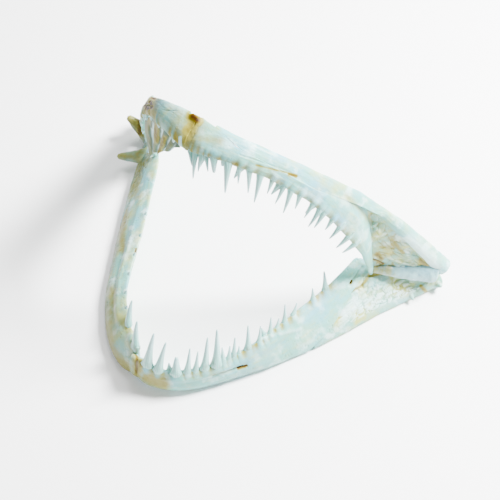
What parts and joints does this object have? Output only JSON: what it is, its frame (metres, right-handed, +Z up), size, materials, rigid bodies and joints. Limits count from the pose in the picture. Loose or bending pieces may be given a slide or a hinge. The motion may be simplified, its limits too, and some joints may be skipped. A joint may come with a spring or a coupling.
{
  "type": "goosefish jaws",
  "caption": "Cleaned, dried upper and lower jaws of a goosefish, gaping about 60 degrees and resting on the lower jaw, with long curved teeth and dried skin in the mouth's corners.",
  "frame": {"origin": "centre of the bounding box's underside, on the level that the lower jaw rests on", "axes": "+X to the fish's left, across the two jaw joints; -Y to the tip of the snout; +Z up"},
  "size_m": [0.1956, 0.1294, 0.1134],
  "materials": {
    "bone": "pearly, pitted dried bone",
    "porous_bone": "cream, netted dried bone",
    "dried_skin": "wrinkled, waxy dried skin",
    "gristle": "translucent, amber-stained dried gristle",
    "teeth": "glassy ivory"
  },
  "bodies": {
    "root": {"dentary_left": "bone", "dentary_right": "bone", "anguloarticular_left": "porous_bone", "anguloarticular_right": "porous_bone", "premaxilla_left": "bone", "premaxilla_right": "bone", "maxilla_left": "bone", "maxilla_right": "bone", "corner_membrane_left": "dried_skin", "corner_membrane_right": "dried_skin", "gum_membrane_right": "dried_skin", "joint_pad_left": "gristle", "joint_pad_right": "gristle", "lower_symphysis": "gristle", "upper_symphysis": "gristle"}
  },
  "joints": []
}
